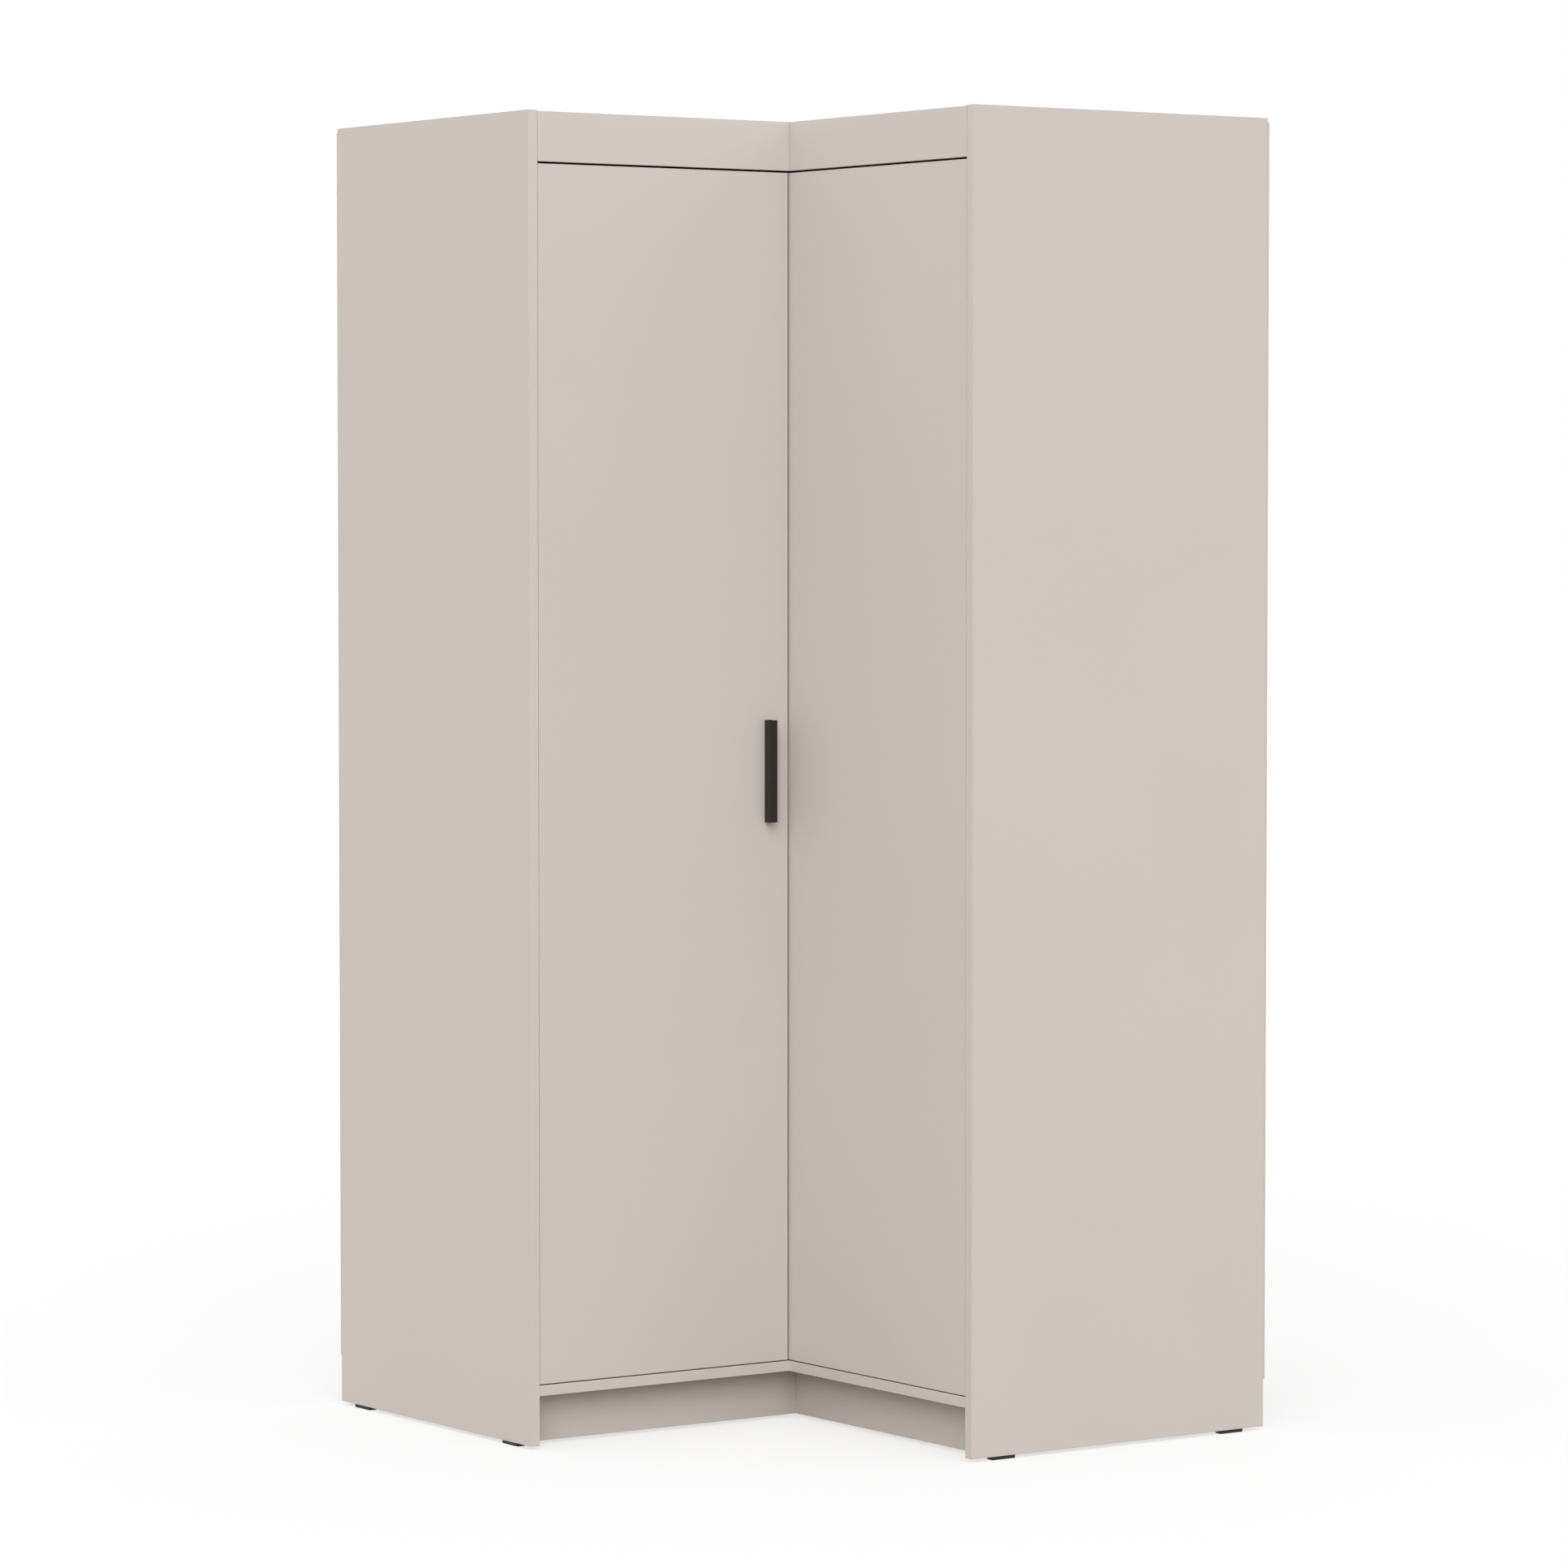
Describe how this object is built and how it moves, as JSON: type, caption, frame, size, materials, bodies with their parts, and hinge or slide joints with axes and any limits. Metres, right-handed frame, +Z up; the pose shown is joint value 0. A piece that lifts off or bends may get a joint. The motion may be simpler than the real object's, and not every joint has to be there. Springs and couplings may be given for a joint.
{
  "type": "corner wardrobe",
  "caption": "L-shaped corner wardrobe with an inset hinged door on each wing, a recessed plinth, a hat shelf and hanging rails inside.",
  "frame": {"origin": "on the floor, at the middle of the square that the wardrobe's plan fits in", "axes": "+Z up; the room corner is towards +X +Y, the left wing's door faces -Y and the right wing's door faces -X"},
  "size_m": [1.0394, 1.0394, 2.0153],
  "materials": {
    "laminate": "matt laminated board, warm beige",
    "hardboard": "thin painted fibreboard",
    "black_metal": "matt black powder coat",
    "nickel": "nickel-plated pressed steel",
    "chrome": "chromed tube and die casting",
    "black_plastic": "moulded plastic",
    "pale_plastic": "extruded plastic"
  },
  "bodies": {
    "carcase": {"left_side_panel": "laminate", "left_fascia": "laminate", "left_plinth": "laminate", "left_top_board": "laminate", "left_bottom_board": "laminate", "left_hat_shelf": "laminate", "left_corner_post": "laminate", "left_front_glide": "black_plastic", "left_rear_glide": "black_plastic", "left_corner_glide": "black_plastic", "left_back_outer_sheet": "hardboard", "left_back_corner_sheet": "hardboard", "left_back_joint_strip": "pale_plastic", "left_hanging_rail": "chrome", "left_rail_socket": "chrome", "left_rail_bracket": "chrome", "left_hinge_1_arm": "nickel", "left_hinge_1_plate": "nickel", "left_hinge_2_arm": "nickel", "left_hinge_2_plate": "nickel", "left_hinge_3_arm": "nickel", "left_hinge_3_plate": "nickel", "left_hinge_4_arm": "nickel", "left_hinge_4_plate": "nickel", "right_side_panel": "laminate", "right_fascia": "laminate", "right_plinth": "laminate", "right_top_board": "laminate", "right_bottom_board": "laminate", "right_hat_shelf": "laminate", "right_corner_post": "laminate", "right_front_glide": "black_plastic", "right_rear_glide": "black_plastic", "right_corner_glide": "black_plastic", "right_back_outer_sheet": "hardboard", "right_back_corner_sheet": "hardboard", "right_back_joint_strip": "pale_plastic", "right_hanging_rail": "chrome", "right_rail_socket": "chrome", "right_rail_bracket": "chrome", "right_hinge_1_arm": "nickel", "right_hinge_1_plate": "nickel", "right_hinge_2_arm": "nickel", "right_hinge_2_plate": "nickel", "right_hinge_3_arm": "nickel", "right_hinge_3_plate": "nickel", "right_hinge_4_arm": "nickel", "right_hinge_4_plate": "nickel"},
    "left_door": {"left_door_panel": "laminate", "left_door_handle": "black_metal", "left_hinge_1_cup": "nickel", "left_hinge_2_cup": "nickel", "left_hinge_3_cup": "nickel", "left_hinge_4_cup": "nickel"},
    "right_door": {"right_door_panel": "laminate", "right_hinge_1_cup": "nickel", "right_hinge_2_cup": "nickel", "right_hinge_3_cup": "nickel", "right_hinge_4_cup": "nickel"}
  },
  "joints": [
    {"name": "left_door_hinge", "type": "hinge", "parent": "carcase", "child": "left_door", "pos_m": [-0.5032, -0.0447, 1.017], "axis": [0, 0, -1], "range_deg": [0, 110]},
    {"name": "right_door_hinge", "type": "hinge", "parent": "carcase", "child": "right_door", "pos_m": [-0.0447, -0.5032, 1.017], "axis": [0, 0, 1], "range_deg": [0, 110]}
  ]
}
